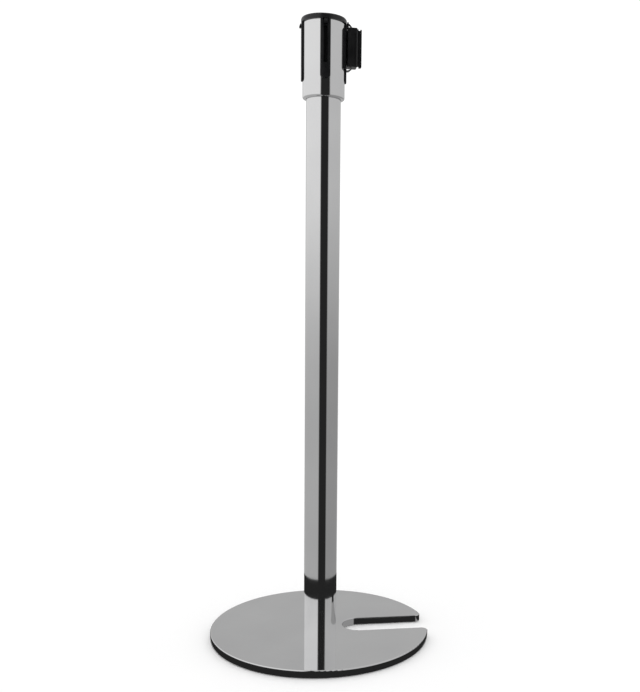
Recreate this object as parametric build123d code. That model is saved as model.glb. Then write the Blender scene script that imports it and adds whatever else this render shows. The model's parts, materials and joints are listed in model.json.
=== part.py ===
from build123d import *
import math
import os

# Retractable belt stanchion with a slotted nesting base.
# Millimetres, +Z up. The origin is on the post's axis at floor level.
# +X is the side of the belt outlet and of the nesting slot in the base.

# Base
BASE_RADIUS = 170.0
PAD_HEIGHT = 1.5
PLATE_BOTTOM = PAD_HEIGHT
PLATE_TOP = 12.5
RIM_ROUND = 1.6
SLOT_HALF_WIDTH = 26.2
SLOT_END_CENTRE = 61.5
SLOT_CORNER = 9.0
PAD_RADIUS = 9.0
PAD_CIRCLE = 152.0
PAD_ANGLES = (35, 90, 145, 215, 270, 325)

# Base bolt, M12 with a low head
BOLT_RADIUS = 6.0
BOLT_HOLE_RADIUS = 6.5
BOLT_HEAD_RADIUS = 9.0
BOLT_HEAD_BOTTOM = 2.1
BOLT_TOP = 38.0
WASHER_BOTTOM = 6.2
WASHER_RADIUS = 12.5
RECESS_RADIUS = 14.0
RECESS_TOP = 8.2

# Post
TUBE_RADIUS = 25.4
TUBE_BORE_RADIUS = 23.9
TUBE_TOP = 834.0
PLUG_TOP = 42.5
FIT_GAP = 0.03
GRUB_HEIGHT = 825.0
GRUB_ANGLES = (45, 165, 285)
SPIGOT_BOTTOM = 790.0
SPIGOT_BORE_RADIUS = 18.0

# Head shell
SLEEVE_RADIUS = 30.7
SLEEVE_BORE_RADIUS = 29.1
SLEEVE_BOTTOM = 815.0
SLEEVE_MOUTH_RADIUS = 25.7
LIP_ROUND = 2.6
HEAD_TOP = 921.0
DECK_TOP = 842.5
CAP_RADIUS = 33.0
CAP_TOP = 928.5
CAP_ROUND = 3.2
CORNER_ANGLES = (45, 135, 225, 315)
CORNER_CIRCLE = 26.4
SIDE_ANGLES = (0, 90, 180, 270)

# Receiver channels, shared by the belt outlet
CHANNEL_RADIUS = 33.2
CHANNEL_BACK_RADIUS = 23.6
CHANNEL_HALF_WIDTH = 7.3
CHANNEL_BOTTOM = 839.5
CHANNEL_CORNER = 5.0
CHANNEL_GAP = 0.15
GROOVE_FLOOR = 858.6
GROOVE_TOP = 912.9
GROOVE_HALF_WIDTH = 2.75
GROOVE_BACK_RADIUS = 25.2
SILL_RADIUS = 31.0
SILL_TOP = 860.6
RECEIVER_ANGLES = {"back": 90, "left": 180, "front": 270}

# Locking catches at the top of each receiver's groove
CATCH_HALF_WIDTH = 3.85
CATCH_BOTTOM = 912.95
CATCH_TOP = 918.2
CATCH_BACK_RADIUS = 27.4
TOOTH_START = 28.6
TOOTH_END = 31.0
TOOTH_BOTTOM = 911.1
NUB_HALF_WIDTH = 2.4
NUB_RADIUS = 35.8
SPRING_RADIUS_OUT = 29.9
SPRING_HOLE = 1.45
SPRING_FLOOR = 914.5
POCKET_GAP = 0.15

# Belt, spool and spring cassette
BELT_BOTTOM = 865.5
BELT_TOP = 913.5
BELT_HALF_THICKNESS = 0.25
COIL_RADIUS = 19.6
HUB_RADIUS = 8.0
FLANGE_RADIUS = 21.6
AXLE_RADIUS = 3.0
AXLE_TOP = 919.2
CASE_RADIUS = 23.3
CASE_BORE_RADIUS = 22.3
CASE_BOTTOM = 861.0
CASE_TOP = 918.0
BARREL_TOP = 860.0
PIN_X = 26.0
PIN_Y = (1.4, -1.5)
PIN_RADIUS = 1.0
PIN_BOTTOM = 863.0
PIN_TOP = 916.0
SPOOL_BOTTOM = 862.4
SPOOL_TOP = 916.4
FLANGE_LOW_TOP = 863.6
FLANGE_HIGH_BOTTOM = 915.0
BUSH_RADIUS = 4.55
BUSH_LENGTH = 8.0
LOWER_BUSH_BOTTOM = 871.0
UPPER_BUSH_BOTTOM = 906.0
ARBOR_BOTTOM = 844.4
ARBOR_SHOULDER = 860.6
ARBOR_TOP = 870.0
ARBOR_RADIUS = 5.9
ARBOR_BORE_RADIUS = 3.4
MAINSPRING_TURNS = 7
MAINSPRING_INNER = 6.4
MAINSPRING_BOTTOM = 845.0
MAINSPRING_HEIGHT = 12.0
MAINSPRING_THICKNESS = 0.35

# Belt outlet on +X
WING_HALF_WIDTH = 15.6
WING_BOTTOM = 857.5
WING_TOP = 912.5
REST_HALF_WIDTH = 4.5
EAR_SIDE = 4.2
EAR_HALF_THICKNESS = 0.8
EAR_TOP = 924.6
PARK_PIVOT_X = 34.5
PARK_PIVOT_Z = 923.2
PARK_LEAF_HALF_WIDTH = 3.2

# Belt end clip
CLIP_BACK = 33.8
CLIP_SPLIT = 36.2
CLIP_FACE = 48.2
CLIP_HALF_WIDTH = 10.0
CLIP_BOTTOM = 862.0
CLIP_TOP = 917.0
CLIP_ROUND = 2.4
TONGUE_END = 55.0
TONGUE_HALF_WIDTH = 2.5
TONGUE_MARGIN = 0.6
DOCK_DROP = 3.8
ANCHOR_X = 42.5
ANCHOR_RADIUS = 2.0


def block(low, high):
    """A box given by its lowest and highest corners."""
    size = [high[i] - low[i] for i in range(3)]
    middle = [(high[i] + low[i]) / 2 for i in range(3)]
    return Pos(*middle) * Box(*size)


def rod(radius, bottom, top, x=0.0, y=0.0):
    """A vertical cylinder."""
    return Pos(x, y, (bottom + top) / 2) * Cylinder(radius, top - bottom)


def ring(outer, inner, bottom, top):
    """A vertical tube length."""
    return rod(outer, bottom, top) - rod(inner, bottom - 1, top + 1)


def bar_along_x(radius, start, end, y, z):
    """A horizontal cylinder along X."""
    return Pos((start + end) / 2, y, z) * Rot(0, 90, 0) * Cylinder(radius, end - start)


def around(shape, angle):
    """The shape turned about the post's axis."""
    return Rot(0, 0, angle) * shape


def base_plate():
    """Round steel plate with a nesting slot that lets a neighbour's post pass."""
    disc = Circle(BASE_RADIUS)
    slot = Pos(SLOT_END_CENTRE, 0) * Circle(SLOT_HALF_WIDTH)
    length = BASE_RADIUS + 20 - SLOT_END_CENTRE
    slot += Pos(SLOT_END_CENTRE + length / 2, 0) * Rectangle(length, 2 * SLOT_HALF_WIDTH)
    outline = disc - slot
    mouth = [v for v in outline.vertices() if v.X > SLOT_END_CENTRE + 60]
    outline = fillet(mouth, SLOT_CORNER)
    plate = Pos(0, 0, PLATE_BOTTOM) * extrude(outline, PLATE_TOP - PLATE_BOTTOM)
    plate = fillet(plate.faces().sort_by(Axis.Z)[-1].outer_wire().edges(), RIM_ROUND)
    plate -= rod(BOLT_HOLE_RADIUS, 0, PLATE_TOP + 1)
    return plate - rod(RECESS_RADIUS, 0, RECESS_TOP)


def floor_pads():
    """Rubber pads bonded under the plate."""
    pads = []
    for angle in PAD_ANGLES:
        pads.append(around(rod(PAD_RADIUS, 0, PAD_HEIGHT, x=PAD_CIRCLE), angle))
    return Compound(pads)


def bolt_cover():
    """Rubber disc that closes the bolt recess and touches the floor."""
    return rod(20.0, 0, PAD_HEIGHT) + rod(RECESS_RADIUS - 0.1, PAD_HEIGHT, PAD_HEIGHT + 0.4)


def base_bolt():
    """Socket screw that pulls the post down onto the plate."""
    head = rod(BOLT_HEAD_RADIUS, BOLT_HEAD_BOTTOM, WASHER_BOTTOM)
    socket = Pos(0, 0, BOLT_HEAD_BOTTOM) * extrude(RegularPolygon(4.0, 6), 2.4)
    return head + rod(BOLT_RADIUS, WASHER_BOTTOM, BOLT_TOP) - socket


def base_washer():
    """Flat washer under the bolt's head."""
    return ring(WASHER_RADIUS, BOLT_HOLE_RADIUS, WASHER_BOTTOM, RECESS_TOP)


def foot_plug():
    """Threaded steel plug welded into the foot of the tube."""
    plug = ring(TUBE_BORE_RADIUS - FIT_GAP, BOLT_RADIUS + FIT_GAP, PLATE_TOP, PLUG_TOP)
    return chamfer(plug.edges().filter_by(GeomType.CIRCLE).group_by(Axis.Z)[-1], 1.0)


def post_tube():
    """Straight polished tube."""
    tube = ring(TUBE_RADIUS, TUBE_BORE_RADIUS, PLATE_TOP, TUBE_TOP)
    for angle in GRUB_ANGLES:
        tube -= around(bar_along_x(2.1, 20, 30, 0, GRUB_HEIGHT), angle)
    return tube


def head_adapter():
    """Spigot in the top of the tube with the flange that carries the head."""
    spigot = ring(TUBE_BORE_RADIUS - FIT_GAP, SPIGOT_BORE_RADIUS, SPIGOT_BOTTOM, TUBE_TOP)
    flange = ring(SLEEVE_BORE_RADIUS - 0.1, SPIGOT_BORE_RADIUS, TUBE_TOP, CHANNEL_BOTTOM - 0.3)
    adapter = spigot + flange
    for angle in GRUB_ANGLES:
        adapter -= around(bar_along_x(1.7, 17, 25, 0, GRUB_HEIGHT), angle)
    return adapter


def adapter_screws():
    """Grub screws through the tube into the spigot, hidden by the sleeve."""
    screws = []
    for angle in GRUB_ANGLES:
        screw = bar_along_x(2.0, 23.95, 26.4, 0, GRUB_HEIGHT)
        screw += bar_along_x(1.65, 19.0, 23.95, 0, GRUB_HEIGHT)
        screws.append(around(screw, angle))
    return Compound(screws)


def channel_outline(half_width, corner):
    """Front view of a channel: straight sides, rounded lower corners."""
    height = HEAD_TOP - CHANNEL_BOTTOM
    face = Rectangle(2 * half_width, height)
    lower = face.vertices().group_by(Axis.Y)[0]
    face = fillet(lower, corner)
    stand = Plane(origin=(15, 0, (HEAD_TOP + CHANNEL_BOTTOM) / 2), x_dir=(0, 1, 0), z_dir=(1, 0, 0))
    return extrude(stand * face, 25)


def channel_blank():
    """Solid channel block on +X, curved to the head at its face and its back."""
    shell = ring(CHANNEL_RADIUS, CHANNEL_BACK_RADIUS, CHANNEL_BOTTOM - 1, HEAD_TOP + 1)
    blank = channel_outline(CHANNEL_HALF_WIDTH, CHANNEL_CORNER) & shell
    outer = [e for e in blank.edges() if abs(e.center().Y) > 6.5 and e.center().X > 32]
    tall = [e for e in outer if e.length > 50]
    return fillet(tall, 0.7)


def groove():
    """Groove that takes a belt end's tongue, with a low sill across its mouth."""
    full = block(
        (GROOVE_BACK_RADIUS, -GROOVE_HALF_WIDTH, GROOVE_FLOOR),
        (CHANNEL_RADIUS + 1, GROOVE_HALF_WIDTH, GROOVE_TOP + 0.5),
    )
    sill = block((SILL_RADIUS, -10, GROOVE_FLOOR - 1), (CHANNEL_RADIUS + 2, 10, SILL_TOP))
    return full - sill


def catch_pocket():
    """Pocket above the groove that guides a catch, wider than the groove so that it has a floor."""
    half = CATCH_HALF_WIDTH + POCKET_GAP
    return block(
        (CATCH_BACK_RADIUS - POCKET_GAP, -half, GROOVE_TOP),
        (CHANNEL_RADIUS + 1, half, HEAD_TOP + 1),
    )


def receiver():
    """Receiver channel on +X."""
    return channel_blank() - groove() - catch_pocket()


def catch():
    """Sprung catch on +X: a tooth below, a finger nub in front and a spring's hole above."""
    body = block(
        (CATCH_BACK_RADIUS, -CATCH_HALF_WIDTH, CATCH_BOTTOM),
        (CHANNEL_RADIUS - 0.4, CATCH_HALF_WIDTH, CATCH_TOP),
    )
    tooth = make_face(
        Polyline(
            (TOOTH_START, CATCH_BOTTOM + 0.5),
            (TOOTH_START, TOOTH_BOTTOM),
            (TOOTH_START + 0.5, TOOTH_BOTTOM),
            (TOOTH_END, CATCH_BOTTOM),
            (TOOTH_END, CATCH_BOTTOM + 0.5),
            close=True,
        )
    )
    nub = make_face(
        Polyline(
            (CHANNEL_RADIUS - 1, CATCH_BOTTOM + 0.6),
            (NUB_RADIUS - 0.4, CATCH_BOTTOM + 0.6),
            (NUB_RADIUS, CATCH_BOTTOM + 1.6),
            (NUB_RADIUS - 0.3, CATCH_BOTTOM + 3.4),
            (CHANNEL_RADIUS + 0.3, CATCH_TOP + 1.8),
            (CHANNEL_RADIUS + 0.1, CATCH_TOP),
            (CHANNEL_RADIUS - 1, CATCH_TOP),
            close=True,
        )
    )
    half = TONGUE_HALF_WIDTH - 0.1
    body += Pos(0, half, 0) * extrude(Plane.XZ * tooth, 2 * half)
    body += Pos(0, NUB_HALF_WIDTH, 0) * extrude(Plane.XZ * nub, 2 * NUB_HALF_WIDTH)
    return body - rod(SPRING_HOLE, SPRING_FLOOR, CATCH_TOP + 1, x=SPRING_RADIUS_OUT)


def catch_spring():
    """Small compression spring between a catch on +X and the cap."""
    line = Helix(pitch=1.3, height=5.2, radius=0.95)
    coil = sweep(Plane(origin=line @ 0, z_dir=line % 0) * Circle(0.28), line)
    return Pos(SPRING_RADIUS_OUT, 0, SPRING_FLOOR + 0.45) * coil


def belt_outlet():
    """Outlet channel on +X with its curved bezel, the clip's rest and the catch's ears."""
    outlet = channel_blank()
    wings = ring(CHANNEL_RADIUS, SLEEVE_RADIUS + 0.1, WING_BOTTOM, WING_TOP)
    wings &= block((20, -WING_HALF_WIDTH, WING_BOTTOM - 5), (40, WING_HALF_WIDTH, WING_TOP + 5))
    outlet += wings
    rest = make_face(
        Polyline(
            (32.6, 857.6),
            (36.4, 858.2),
            (40.4, 860.9),
            (40.9, 860.3),
            (36.8, 857.0),
            (32.6, 856.3),
            close=True,
        )
    )
    outlet += Pos(0, REST_HALF_WIDTH, 0) * extrude(Plane.XZ * rest, 2 * REST_HALF_WIDTH)
    for side in (-1, 1):
        ear = block((32.4, -EAR_HALF_THICKNESS, 917.8), (35.6, EAR_HALF_THICKNESS, HEAD_TOP))
        ear += block((33.25, -EAR_HALF_THICKNESS, HEAD_TOP - 1), (35.6, EAR_HALF_THICKNESS, EAR_TOP))
        outlet += Pos(0, side * EAR_SIDE, 0) * ear
    outlet -= Pos(PARK_PIVOT_X, 0, PARK_PIVOT_Z) * Rot(90, 0, 0) * Cylinder(0.55, 20)
    outlet -= block((20, -3.0, 862.7), (PIN_X + 1.2, 5.5, 916.3))
    return outlet - block((20, -1.7, 864.8), (40, 1.7, 914.2))


def park_catch():
    """Thin leaf that hangs over the top of the parked clip."""
    leaf = make_face(
        Polyline(
            (33.7, 923.6),
            (34.6, 924.1),
            (37.6, 922.2),
            (40.8, 918.4),
            (40.0, 918.0),
            (37.0, 921.4),
            close=True,
        )
    )
    body = Pos(0, PARK_LEAF_HALF_WIDTH, 0) * extrude(Plane.XZ * leaf, 2 * PARK_LEAF_HALF_WIDTH)
    body += Pos(PARK_PIVOT_X, 0, PARK_PIVOT_Z) * Rot(90, 0, 0) * Cylinder(0.8, 2 * PARK_LEAF_HALF_WIDTH)
    return body + Pos(PARK_PIVOT_X, 0, PARK_PIVOT_Z) * Rot(90, 0, 0) * Cylinder(0.5, 9.6)


def head_sleeve():
    """Polished shell with a turned-in lower lip and four channel cut-outs."""
    wall = make_face(
        Polyline(
            (SLEEVE_MOUTH_RADIUS, SLEEVE_BOTTOM),
            (SLEEVE_RADIUS, SLEEVE_BOTTOM),
            (SLEEVE_RADIUS, HEAD_TOP),
            (SLEEVE_BORE_RADIUS, HEAD_TOP),
            (SLEEVE_BORE_RADIUS, SLEEVE_BOTTOM + 1.6),
            (SLEEVE_MOUTH_RADIUS, SLEEVE_BOTTOM + 1.6),
            close=True,
        )
    )
    corner = [v for v in wall.vertices() if v.X > SLEEVE_RADIUS - 0.1 and v.Y < SLEEVE_BOTTOM + 0.1]
    wall = fillet(corner, LIP_ROUND)
    shell = revolve(Plane.XZ * wall, Axis.Z)
    cut = channel_outline(CHANNEL_HALF_WIDTH + CHANNEL_GAP, CHANNEL_CORNER)
    cut += Pos(0, 0, 1) * cut
    cut = Pos(0, 0, -CHANNEL_GAP) * cut
    for angle in SIDE_ANGLES:
        shell -= around(cut, angle)
    return shell


def head_core():
    """Moulded deck with four corner posts for the cap's screws."""
    core = ring(SLEEVE_BORE_RADIUS - 0.1, 9.0, CHANNEL_BOTTOM - 0.2, DECK_TOP)
    for angle in CORNER_ANGLES:
        core += around(rod(2.5, DECK_TOP - 1, HEAD_TOP - 0.1, x=CORNER_CIRCLE), angle)
    for angle in CORNER_ANGLES:
        core -= around(rod(1.3, 905.0, HEAD_TOP + 1, x=CORNER_CIRCLE), angle)
    for angle in SIDE_ANGLES:
        core -= around(channel_outline(CHANNEL_HALF_WIDTH + 0.1, CHANNEL_CORNER), angle)
    return core


def top_cap():
    """Black cap with rounded shoulders, hollow underneath."""
    cap = rod(CAP_RADIUS, HEAD_TOP, CAP_TOP)
    cap = fillet(cap.edges().sort_by(Axis.Z)[-1], CAP_ROUND)
    cap -= rod(CAP_RADIUS - 4.0, HEAD_TOP - 1, CAP_TOP - 3.0)
    for angle in CORNER_ANGLES:
        cap += around(rod(3.4, HEAD_TOP, CAP_TOP - 2.5, x=CORNER_CIRCLE), angle)
    for angle in CORNER_ANGLES:
        cap -= around(rod(1.7, HEAD_TOP - 1, CAP_TOP + 1, x=CORNER_CIRCLE), angle)
        cap -= around(rod(2.9, CAP_TOP - 2.4, CAP_TOP + 1, x=CORNER_CIRCLE), angle)
    return cap


def cap_screws():
    """Pan-head screws that hold the cap to the core's posts."""
    screws = []
    for angle in CORNER_ANGLES:
        screw = rod(1.25, 908.0, CAP_TOP - 2.3, x=CORNER_CIRCLE)
        screw += rod(2.7, CAP_TOP - 2.3, CAP_TOP - 0.6, x=CORNER_CIRCLE)
        screw -= Pos(CORNER_CIRCLE, 0, CAP_TOP - 1.6) * extrude(RegularPolygon(1.2, 6), 2)
        screws.append(around(screw, angle))
    return Compound(screws)


def cassette_case():
    """Thin can around the spool with a window for the belt."""
    case = ring(CASE_RADIUS, CASE_BORE_RADIUS, CASE_BOTTOM, CASE_TOP)
    case += ring(CASE_RADIUS, 6.0, CASE_BOTTOM, CASE_BOTTOM + 1.0)
    return case - block((10, -3.0, 864.0), (30, 13.5, 915.0))


def cassette_lid():
    """Lid that holds the top of the axle."""
    return ring(CASE_RADIUS, AXLE_RADIUS + FIT_GAP, CASE_TOP, CASE_TOP + 1.2)


def spring_barrel():
    """Fixed can around the mainspring, below the spool."""
    wall = ring(CASE_RADIUS, CASE_BORE_RADIUS, DECK_TOP, BARREL_TOP)
    floor = ring(CASE_RADIUS, AXLE_RADIUS + FIT_GAP, DECK_TOP, DECK_TOP + 1.2)
    return wall + floor


def mainspring():
    """Flat spiral strip from the arbor to the barrel's wall."""
    outer = CASE_BORE_RADIUS - 0.4
    points = []
    steps = MAINSPRING_TURNS * 12
    for i in range(steps + 1):
        share = i / steps
        radius = MAINSPRING_INNER + (outer - MAINSPRING_INNER) * share
        angle = 2 * math.pi * MAINSPRING_TURNS * share
        points.append((radius * math.cos(angle), radius * math.sin(angle)))
    strip = trace(Spline(points), MAINSPRING_THICKNESS)
    return Pos(0, 0, MAINSPRING_BOTTOM) * extrude(strip, MAINSPRING_HEIGHT)


def spool_axle():
    """Steel axle fixed in the barrel's floor and the lid."""
    axle = rod(AXLE_RADIUS, DECK_TOP + 0.05, AXLE_TOP + 1.2)
    return axle - ring(AXLE_RADIUS + 1, AXLE_RADIUS - 0.5, AXLE_TOP + 0.1, AXLE_TOP + 0.7)


def axle_clip():
    """Retaining ring in the axle's groove, above the lid."""
    snap = ring(5.2, AXLE_RADIUS - 0.4, AXLE_TOP + 0.12, AXLE_TOP + 0.68)
    return snap - block((0, -1.4, AXLE_TOP - 1), (8, 1.4, AXLE_TOP + 2))


def spool():
    """Flanged bobbin, with its arbor reaching down into the mainspring."""
    hub = rod(HUB_RADIUS, FLANGE_LOW_TOP - 0.2, FLANGE_HIGH_BOTTOM)
    low = rod(FLANGE_RADIUS, SPOOL_BOTTOM, FLANGE_LOW_TOP)
    high = rod(FLANGE_RADIUS, FLANGE_HIGH_BOTTOM, SPOOL_TOP)
    body = hub + low + high
    return body - rod(BUSH_RADIUS + 0.05, SPOOL_BOTTOM - 1, SPOOL_TOP + 1)


def spring_arbor():
    """Steel sleeve keyed to the spool, which the mainspring's inner end grips."""
    sleeve = ring(ARBOR_RADIUS, ARBOR_BORE_RADIUS, ARBOR_BOTTOM, ARBOR_SHOULDER)
    return sleeve + ring(BUSH_RADIUS, ARBOR_BORE_RADIUS, ARBOR_SHOULDER, ARBOR_TOP)


def spool_bush(bottom):
    """Flangeless bush between spool and axle."""
    return ring(BUSH_RADIUS, AXLE_RADIUS + 0.05, bottom, bottom + BUSH_LENGTH)


def belt_coil():
    """The wound belt on the spool's hub."""
    return ring(COIL_RADIUS, HUB_RADIUS + 0.05, BELT_BOTTOM, BELT_TOP)


def belt_run():
    """The belt's short run from the coil to the guide pins."""
    start = (15.9, 12.9)
    end = (25.1, 0.35)
    strip = trace(Line(start, end), 2 * BELT_HALF_THICKNESS)
    return Pos(0, 0, BELT_BOTTOM) * extrude(strip, BELT_TOP - BELT_BOTTOM)


def belt_end():
    """The belt from the guide pins to its loop round the clip's pin."""
    loop_radius = ANCHOR_RADIUS + 0.65
    strip = block((25.6, -BELT_HALF_THICKNESS, BELT_BOTTOM), (ANCHOR_X - 2.4, BELT_HALF_THICKNESS, BELT_TOP))
    loop = rod(loop_radius, BELT_BOTTOM, BELT_TOP, x=ANCHOR_X)
    loop -= rod(ANCHOR_RADIUS + 0.1, BELT_BOTTOM - 1, BELT_TOP + 1, x=ANCHOR_X)
    return strip + loop


def guide_pins():
    """Two polished pins that the belt slides between."""
    return Compound([rod(PIN_RADIUS, PIN_BOTTOM, PIN_TOP, x=PIN_X, y=y) for y in PIN_Y])


def clip_shape():
    """Outer form of the clip, rounded on the side away from the post."""
    form = block((CLIP_BACK, -CLIP_HALF_WIDTH, CLIP_BOTTOM), (CLIP_FACE, CLIP_HALF_WIDTH, CLIP_TOP))
    sides = form.edges().filter_by(Axis.X)
    form = fillet(sides, CLIP_ROUND)
    front = form.faces().sort_by(Axis.X)[-1]
    return fillet(front.edges(), CLIP_ROUND - 0.6)


def clip_screw_places():
    """Centres of the four clip screws in Y and Z."""
    return [(y, z) for y in (-8.4, 8.4) for z in (869.0, 910.0)]


def clip_body():
    """Hollow moulding that holds the belt's end."""
    body = clip_shape() & block((CLIP_SPLIT, -20, 850), (60, 20, 930))
    body -= block((CLIP_SPLIT - 1, -6.6, 864.6), (45.8, 6.6, 914.4))
    body -= rod(ANCHOR_RADIUS + 0.05, 863.2, 915.8, x=ANCHOR_X)
    for side in (-1, 1):
        body -= Pos(0, side * (CLIP_HALF_WIDTH + 4.4), 0) * block((38.5, -5, 868), (45.5, 5, 908))
    for y, z in clip_screw_places():
        body -= bar_along_x(0.9, CLIP_SPLIT - 1, 44, y, z)
    return body


def clip_cover():
    """Back plate of the clip, with the slit that the belt comes through."""
    cover = clip_shape() & block((30, -20, 850), (CLIP_SPLIT, 20, 930))
    cover -= block((30, -1.3, 864.8), (40, 1.3, 914.2))
    for y, z in clip_screw_places():
        cover -= bar_along_x(0.95, 30, 40, y, z)
        cover -= bar_along_x(1.45, 30, CLIP_BACK + 1.1, y, z)
    return cover


def clip_tongue():
    """Tongue that hooks over a receiver's sill and snaps under its catch."""
    low = CLIP_BOTTOM + TONGUE_MARGIN
    high = CLIP_TOP - TONGUE_MARGIN
    plate = block((CLIP_FACE, -TONGUE_HALF_WIDTH, low), (TONGUE_END, TONGUE_HALF_WIDTH, high))
    corners = plate.edges().filter_by(Axis.Y).sort_by(Axis.X)[-2:]
    plate = fillet(corners, 1.6)
    seat = CLIP_FACE + CHANNEL_RADIUS + 0.2
    sill_notch = block(
        (CLIP_FACE - 1, -5, low - 1),
        (seat - SILL_RADIUS + 0.3, 5, SILL_TOP + DOCK_DROP + 0.3),
    )
    tooth_notch = block(
        (seat - TOOTH_END - 0.2, -5, TOOTH_BOTTOM + DOCK_DROP - 0.3),
        (seat - TOOTH_START + 0.2, 5, high + 1),
    )
    return plate - sill_notch - tooth_notch


def belt_anchor_pin():
    """Pin in the clip that the belt's end loops round."""
    return rod(ANCHOR_RADIUS, 863.3, 915.7, x=ANCHOR_X)


def clip_screws():
    """Screws through the cover into the clip's body."""
    screws = []
    for y, z in clip_screw_places():
        screw = bar_along_x(0.85, CLIP_BACK + 1.0, 43.5, y, z)
        screws.append(screw + bar_along_x(1.4, CLIP_BACK + 0.2, CLIP_BACK + 1.1, y, z))
    return Compound(screws)


parts = {
    "base_plate": base_plate(),
    "floor_pads": floor_pads(),
    "bolt_cover": bolt_cover(),
    "base_bolt": base_bolt(),
    "base_washer": base_washer(),
    "foot_plug": foot_plug(),
    "post_tube": post_tube(),
    "head_adapter": head_adapter(),
    "adapter_screws": adapter_screws(),
    "head_sleeve": head_sleeve(),
    "head_core": head_core(),
    "top_cap": top_cap(),
    "cap_screws": cap_screws(),
    "belt_outlet": belt_outlet(),
    "park_catch": park_catch(),
    "cassette_case": cassette_case(),
    "cassette_lid": cassette_lid(),
    "spring_barrel": spring_barrel(),
    "mainspring": mainspring(),
    "spool_axle": spool_axle(),
    "axle_clip": axle_clip(),
    "spool": spool(),
    "spring_arbor": spring_arbor(),
    "lower_bush": spool_bush(LOWER_BUSH_BOTTOM),
    "upper_bush": spool_bush(UPPER_BUSH_BOTTOM),
    "belt_coil": belt_coil(),
    "belt_run": belt_run(),
    "belt_end": belt_end(),
    "guide_pins": guide_pins(),
    "clip_body": clip_body(),
    "clip_cover": clip_cover(),
    "clip_tongue": clip_tongue(),
    "belt_anchor_pin": belt_anchor_pin(),
    "clip_screws": clip_screws(),
}
for side_name, side_angle in RECEIVER_ANGLES.items():
    parts["receiver_" + side_name] = around(receiver(), side_angle)
    parts["catch_" + side_name] = around(catch(), side_angle)
    parts["catch_spring_" + side_name] = around(catch_spring(), side_angle)

os.makedirs("parts", exist_ok=True)
for node, shape in parts.items():
    export_step(shape, "parts/" + node + ".step")
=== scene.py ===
import bpy
import json
import math
from mathutils import Matrix, Vector


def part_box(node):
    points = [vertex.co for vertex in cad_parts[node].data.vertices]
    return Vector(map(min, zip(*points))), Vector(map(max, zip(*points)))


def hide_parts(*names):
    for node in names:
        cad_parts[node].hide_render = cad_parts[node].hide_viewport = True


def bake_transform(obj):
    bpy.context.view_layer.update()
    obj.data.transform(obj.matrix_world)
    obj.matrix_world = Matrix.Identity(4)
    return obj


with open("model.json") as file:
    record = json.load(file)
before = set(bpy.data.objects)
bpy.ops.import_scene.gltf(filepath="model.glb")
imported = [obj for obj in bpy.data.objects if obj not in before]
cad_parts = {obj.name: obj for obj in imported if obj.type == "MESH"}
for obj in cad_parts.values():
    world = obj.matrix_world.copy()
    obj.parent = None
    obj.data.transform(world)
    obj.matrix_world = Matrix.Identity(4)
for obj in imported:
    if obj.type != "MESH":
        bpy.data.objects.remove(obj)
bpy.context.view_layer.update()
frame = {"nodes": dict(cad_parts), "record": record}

# Camera: distance and height in metres, angles in degrees, focal length in millimetres.
CAMERA_DISTANCE = 1.3664
CAMERA_HEIGHT = 0.5433
OBJECT_TURN = 4.3
CAMERA_YAW = 5.496
CAMERA_DOWN = 7.539
CAMERA_ROLL = 1.104
CAMERA_LENS = 46.61
CAMERA_SHIFT = (-0.1256, 0.0886)

# Belt, from the guide pins to the clip's pin.
BELT_THICKNESS = 0.0009
BELT_COLUMNS = 160
BELT_ROWS = 24

# Studio. The round wall has a panel on each side of the camera, one behind the object
# and a dark gap in front.
WORLD_LIGHT = 1.08
FLOOR_REACH = 40.0
WALL_RADIUS = 2.6
WALL_BOTTOM = -2.0
WALL_TOP = 3.2
LEFT_PANEL = 0.8
RIGHT_PANEL = 0.55
BACK_PANEL = 0.45
FADE_TOP = 1.2
FADE_SHARE = 0.55
DARK = 0.02
GAP_LEFT = -16.0
GAP_RIGHT = 35.0
EDGE = 4.0
BACK_START = 140.0
BACK_END = 165.0
SHADE_INNER = 0.172
SHADE_OUTER = 0.31
SHADE_HEIGHT = 0.0004
WALL_STEPS = 26
POLE_RADIUS = 0.01
CARD_POINTS = 360


def new_material(name):
    """An empty node material with a Principled shader; returns the material, its tree and the shader."""
    material = bpy.data.materials.new(name)
    material.use_nodes = True
    tree = material.node_tree
    shader = next(n for n in tree.nodes if n.type == "BSDF_PRINCIPLED")
    return material, tree, shader


def object_coordinates(tree, stretch=(1, 1, 1)):
    """Object-space coordinates in metres, stretched along each axis."""
    coordinates = tree.nodes.new("ShaderNodeTexCoord")
    mapping = tree.nodes.new("ShaderNodeMapping")
    mapping.inputs["Scale"].default_value = stretch
    tree.links.new(coordinates.outputs["Object"], mapping.inputs["Vector"])
    return mapping.outputs["Vector"]


def noise(tree, vector, scale, detail):
    """Noise texture; returns its value."""
    node = tree.nodes.new("ShaderNodeTexNoise")
    node.inputs["Scale"].default_value = scale
    node.inputs["Detail"].default_value = detail
    tree.links.new(vector, node.inputs["Vector"])
    return node.outputs["Fac"]


def spread(tree, value, low, high, start=0.3, end=0.7):
    """The value mapped from start..end to low..high."""
    node = tree.nodes.new("ShaderNodeMapRange")
    node.inputs["From Min"].default_value = start
    node.inputs["From Max"].default_value = end
    node.inputs["To Min"].default_value = low
    node.inputs["To Max"].default_value = high
    tree.links.new(value, node.inputs["Value"])
    return node.outputs["Result"]


def mix_colours(tree, value, first, second):
    """Two colours mixed by a value."""
    node = tree.nodes.new("ShaderNodeMix")
    node.data_type = "RGBA"
    node.inputs["A"].default_value = (*first, 1)
    node.inputs["B"].default_value = (*second, 1)
    tree.links.new(value, node.inputs["Factor"])
    return node.outputs["Result"]


def bump(tree, shader, height, distance, strength):
    """Bump from a height value, joined to the shader."""
    node = tree.nodes.new("ShaderNodeBump")
    node.inputs["Distance"].default_value = distance
    node.inputs["Strength"].default_value = strength
    tree.links.new(height, node.inputs["Height"])
    tree.links.new(node.outputs["Normal"], shader.inputs["Normal"])


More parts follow.
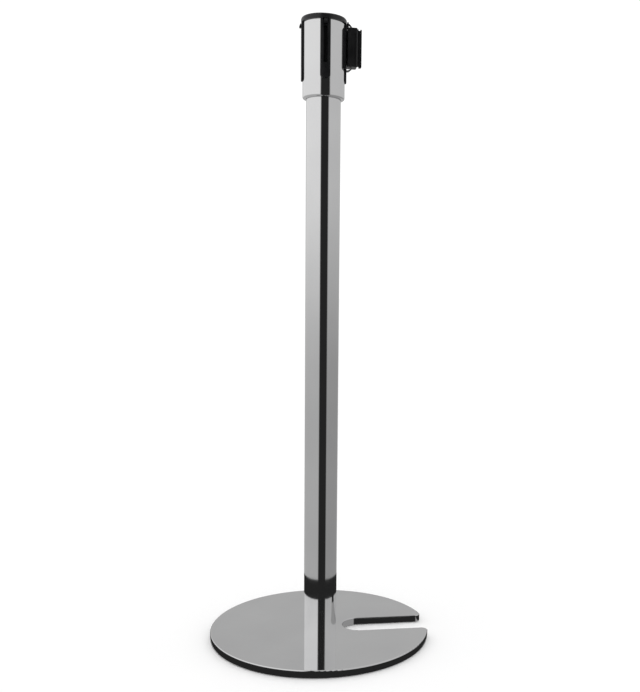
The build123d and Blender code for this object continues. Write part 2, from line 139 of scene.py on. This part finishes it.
def polished_metal(name, stretch):
    """Mirror finish with faint polishing lines and a little haze."""
    material, tree, shader = new_material(name)
    shader.inputs["Metallic"].default_value = 1.0
    fine = noise(tree, object_coordinates(tree, stretch), 900, 2)
    cloud = noise(tree, object_coordinates(tree), 9, 4)
    colour = mix_colours(tree, spread(tree, cloud, 0, 1), (0.80, 0.80, 0.805), (0.86, 0.86, 0.862))
    tree.links.new(colour, shader.inputs["Base Color"])
    haze = tree.nodes.new("ShaderNodeMath")
    haze.operation = "ADD"
    tree.links.new(spread(tree, cloud, 0.0, 0.025), haze.inputs[0])
    tree.links.new(spread(tree, fine, 0.035, 0.06), haze.inputs[1])
    tree.links.new(haze.outputs["Value"], shader.inputs["Roughness"])
    bump(tree, shader, fine, 0.00001, 0.12)
    return material


def moulded_plastic(name, dark, light, grain=2600, low=0.34, high=0.5, depth=0.00004):
    """Moulded plastic with a fine grain and slightly rubbed patches."""
    material, tree, shader = new_material(name)
    vector = object_coordinates(tree)
    grit = noise(tree, vector, grain, 2)
    patches = noise(tree, vector, 60, 4)
    tree.links.new(mix_colours(tree, spread(tree, patches, 0, 1), dark, light), shader.inputs["Base Color"])
    tree.links.new(spread(tree, patches, low, high), shader.inputs["Roughness"])
    bump(tree, shader, grit, depth, 0.5)
    return material


def plain_metal(name, dark, light, stretch, low, high):
    """Turned or rolled metal with fine lines along one direction."""
    material, tree, shader = new_material(name)
    shader.inputs["Metallic"].default_value = 1.0
    lines = noise(tree, object_coordinates(tree, stretch), 700, 3)
    tree.links.new(mix_colours(tree, spread(tree, lines, 0, 1), dark, light), shader.inputs["Base Color"])
    tree.links.new(spread(tree, lines, low, high), shader.inputs["Roughness"])
    bump(tree, shader, lines, 0.00002, 0.3)
    return material


def webbing(name):
    """Plain woven belt: warp ribs along X, weft picks across."""
    material, tree, shader = new_material(name)
    vector = object_coordinates(tree)
    across = tree.nodes.new("ShaderNodeTexWave")
    across.bands_direction = "Z"
    across.inputs["Scale"].default_value = 320
    along = tree.nodes.new("ShaderNodeTexWave")
    along.bands_direction = "X"
    along.inputs["Scale"].default_value = 260
    for wave in (across, along):
        wave.inputs["Distortion"].default_value = 0.6
        wave.inputs["Detail"].default_value = 1.0
        tree.links.new(vector, wave.inputs["Vector"])
    weave = tree.nodes.new("ShaderNodeMath")
    weave.operation = "MULTIPLY"
    tree.links.new(across.outputs["Fac"], weave.inputs[0])
    tree.links.new(along.outputs["Fac"], weave.inputs[1])
    fuzz = noise(tree, vector, 1500, 3)
    height = tree.nodes.new("ShaderNodeMath")
    height.operation = "MULTIPLY_ADD"
    tree.links.new(fuzz, height.inputs[0])
    height.inputs[1].default_value = 0.25
    tree.links.new(weave.outputs["Value"], height.inputs[2])
    colour = mix_colours(tree, height.outputs["Value"], (0.008, 0.008, 0.009), (0.035, 0.035, 0.038))
    tree.links.new(colour, shader.inputs["Base Color"])
    tree.links.new(spread(tree, fuzz, 0.75, 0.92), shader.inputs["Roughness"])
    shader.inputs["Sheen Weight"].default_value = 0.25
    shader.inputs["Sheen Roughness"].default_value = 0.5
    bump(tree, shader, height.outputs["Value"], 0.00025, 0.8)
    return material


def make_materials():
    """One material for each of the record's slots."""
    even = (1, 1, 1)
    return {
        "polished_steel": polished_metal("polished_steel_lines", (1, 1, 0.02)),
        "black_plastic": moulded_plastic(
            "black_moulded", (0.004, 0.004, 0.005), (0.007, 0.007, 0.008), 2600, 0.28, 0.4
        ),
        "inner_plastic": moulded_plastic("natural_moulded", (0.48, 0.48, 0.46), (0.58, 0.58, 0.56)),
        "zinc_steel": plain_metal(
            "zinc_plated", (0.52, 0.53, 0.55), (0.68, 0.69, 0.70), (1, 1, 0.1), 0.25, 0.42
        ),
        "spring_steel": plain_metal(
            "blued_strip", (0.20, 0.22, 0.27), (0.36, 0.37, 0.40), (0.1, 0.1, 1), 0.25, 0.4
        ),
        "cast_alloy": plain_metal(
            "cast_alloy_turned", (0.55, 0.55, 0.56), (0.70, 0.70, 0.70), even, 0.4, 0.6
        ),
        "black_screw": plain_metal("black_oxide", (0.02, 0.02, 0.02), (0.05, 0.05, 0.05), even, 0.3, 0.5),
        "rubber": moulded_plastic("rubber_matt", (0.018, 0.018, 0.018), (0.03, 0.03, 0.03), 1200, 0.7, 0.9),
        "belt_fabric": webbing("belt_webbing"),
    }


def dress_frame(materials):
    """Every CAD node takes its slot's material."""
    slots = {part["node"]: part["material_slot"] for part in frame["record"]["subparts"]}
    for node, piece in frame["nodes"].items():
        for place in piece.material_slots:
            place.material = materials[slots[node]]


def belt_strip(material):
    """The belt from the guide pins to the clip."""
    low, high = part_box("belt_end")
    start = low[0]
    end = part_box("belt_anchor_pin")[0][0]
    columns = BELT_COLUMNS
    rows = BELT_ROWS
    half = BELT_THICKNESS / 2
    points = []
    for side in (-1, 1):
        for i in range(columns + 1):
            x = start + (end - start) * i / columns
            for k in range(rows + 1):
                z = low[2] + (high[2] - low[2]) * k / rows
                points.append((x, side * half, z))
    count = (columns + 1) * (rows + 1)
    faces = []
    for i in range(columns):
        for k in range(rows):
            a = i * (rows + 1) + k
            b = a + rows + 1
            faces.append((a, b, b + 1, a + 1))
            faces.append((count + a, count + a + 1, count + b + 1, count + b))
    for i in range(columns):
        for k in (0, rows):
            a = i * (rows + 1) + k
            b = a + rows + 1
            loop = (a, count + a, count + b, b)
            faces.append(loop if k == 0 else loop[::-1])
    for k in range(rows):
        for i in (0, columns):
            a = i * (rows + 1) + k
            loop = (a, a + 1, count + a + 1, count + a)
            faces.append(loop if i == 0 else loop[::-1])
    mesh = bpy.data.meshes.new("belt_strip")
    mesh.from_pydata(points, [], faces)
    mesh.materials.append(material)
    piece = bpy.data.objects.new("belt_strip", mesh)
    bpy.context.collection.objects.link(piece)
    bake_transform(piece)
    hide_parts("belt_end")


def make_camera():
    """Camera in front of the object, a little above its middle, looking down."""
    turn = math.radians(OBJECT_TURN)
    yaw = math.radians(CAMERA_YAW) + turn
    down = math.radians(CAMERA_DOWN)
    roll = math.radians(CAMERA_ROLL)
    forward = Vector((math.sin(yaw) * math.cos(down), math.cos(yaw) * math.cos(down), -math.sin(down)))
    right = Vector((math.cos(yaw), -math.sin(yaw), 0))
    up = right.cross(forward)
    across = math.cos(roll) * right + math.sin(roll) * up
    upward = math.cos(roll) * up - math.sin(roll) * right
    data = bpy.data.cameras.new("camera")
    data.lens = CAMERA_LENS
    data.shift_x, data.shift_y = CAMERA_SHIFT
    camera = bpy.data.objects.new("camera", data)
    bpy.context.collection.objects.link(camera)
    turned = Matrix((across, upward, -forward)).transposed().to_4x4()
    place = (-CAMERA_DISTANCE * math.sin(turn), -CAMERA_DISTANCE * math.cos(turn), CAMERA_HEIGHT)
    camera.matrix_world = Matrix.Translation(place) @ turned
    bpy.context.scene.camera = camera


def soft_step(start, end, value):
    """Smooth rise from 0 at the start to 1 at the end."""
    share = min(1, max(0, (value - start) / (end - start)))
    return share * share * (3 - 2 * share)


def wall_level(x, y, z):
    """Brightness of the wall at a place: the side panels dim towards the floor, the back panel is even."""
    angle = math.degrees(math.atan2(y, x)) + 90 + OBJECT_TURN
    side = (angle + 180) % 360 - 180
    panel = LEFT_PANEL if side < 0 else RIGHT_PANEL
    panel *= FADE_SHARE + (1 - FADE_SHARE) * soft_step(0, FADE_TOP, z)
    panel += (BACK_PANEL - panel) * soft_step(BACK_START, BACK_END, abs(side))
    into_gap = soft_step(GAP_LEFT - EDGE, GAP_LEFT + EDGE, side)
    out_of_gap = soft_step(GAP_RIGHT - EDGE, GAP_RIGHT + EDGE, side)
    return panel + (DARK - panel) * (into_gap - out_of_gap)


def glow_material():
    """Emission whose strength is stored on the mesh."""
    material = bpy.data.materials.new("studio_glow")
    material.use_nodes = True
    tree = material.node_tree
    tree.nodes.clear()
    output = tree.nodes.new("ShaderNodeOutputMaterial")
    light = tree.nodes.new("ShaderNodeEmission")
    level = tree.nodes.new("ShaderNodeAttribute")
    level.attribute_name = "level"
    tree.links.new(level.outputs["Fac"], light.inputs["Strength"])
    tree.links.new(light.outputs["Emission"], output.inputs["Surface"])
    return material


def round_card(name, profile, level, material):
    """A card turned about the post's axis from (radius, height) points, which only reflections see."""
    points = []
    for radius, height in profile:
        for k in range(CARD_POINTS):
            angle = 2 * math.pi * k / CARD_POINTS
            points.append((radius * math.cos(angle), radius * math.sin(angle), height))
    faces = []
    for i in range(len(profile) - 1):
        for k in range(CARD_POINTS):
            a = i * CARD_POINTS + k
            b = i * CARD_POINTS + (k + 1) % CARD_POINTS
            faces.append((a, b, b + CARD_POINTS, a + CARD_POINTS))
    mesh = bpy.data.meshes.new(name)
    mesh.from_pydata(points, [], faces)
    levels = [level(*point) for point in points]
    mesh.attributes.new("level", "FLOAT", "POINT").data.foreach_set("value", levels)
    mesh.materials.append(material)
    card = bpy.data.objects.new(name, mesh)
    bpy.context.collection.objects.link(card)
    card.visible_camera = False
    card.visible_diffuse = False
    card.visible_shadow = False


def make_cards():
    """Round wall with a closed bottom and top, and a dark shade on the floor round the base."""
    material = glow_material()
    rise = (WALL_TOP - WALL_BOTTOM) / WALL_STEPS
    profile = [(POLE_RADIUS, WALL_BOTTOM)]
    profile += [(WALL_RADIUS, WALL_BOTTOM + rise * i) for i in range(WALL_STEPS + 1)]
    profile.append((POLE_RADIUS, WALL_TOP))
    round_card("studio_wall", profile, wall_level, material)
    shade = ((SHADE_INNER, SHADE_HEIGHT), (SHADE_OUTER, SHADE_HEIGHT))
    round_card("floor_shade", shade, lambda x, y, z: DARK, material)


def make_studio():
    """Pale floor, soft even light and the cards that the polished metal mirrors."""
    world = bpy.data.worlds.new("studio")
    bpy.context.scene.world = world
    world.use_nodes = True
    background = world.node_tree.nodes["Background"]
    background.inputs["Color"].default_value = (1, 1, 1, 1)
    background.inputs["Strength"].default_value = WORLD_LIGHT
    bpy.context.scene.view_settings.view_transform = "Standard"
    material, tree, shader = new_material("pale_floor")
    shade = noise(tree, object_coordinates(tree), 3, 2)
    colour = mix_colours(tree, shade, (0.955, 0.955, 0.955), (0.965, 0.965, 0.965))
    tree.links.new(colour, shader.inputs["Base Color"])
    shader.inputs["Roughness"].default_value = 0.9
    mesh = bpy.data.meshes.new("floor")
    corners = [(-FLOOR_REACH, -FLOOR_REACH, 0), (FLOOR_REACH, -FLOOR_REACH, 0)]
    corners += [(FLOOR_REACH, FLOOR_REACH, 0), (-FLOOR_REACH, FLOOR_REACH, 0)]
    mesh.from_pydata(corners, [], [(0, 1, 2, 3)])
    mesh.materials.append(material)
    floor = bpy.data.objects.new("floor", mesh)
    bpy.context.collection.objects.link(floor)
    floor.visible_glossy = False
    make_cards()


def main():
    materials = make_materials()
    dress_frame(materials)
    belt_strip(materials["belt_fabric"])
    make_camera()
    make_studio()


main()
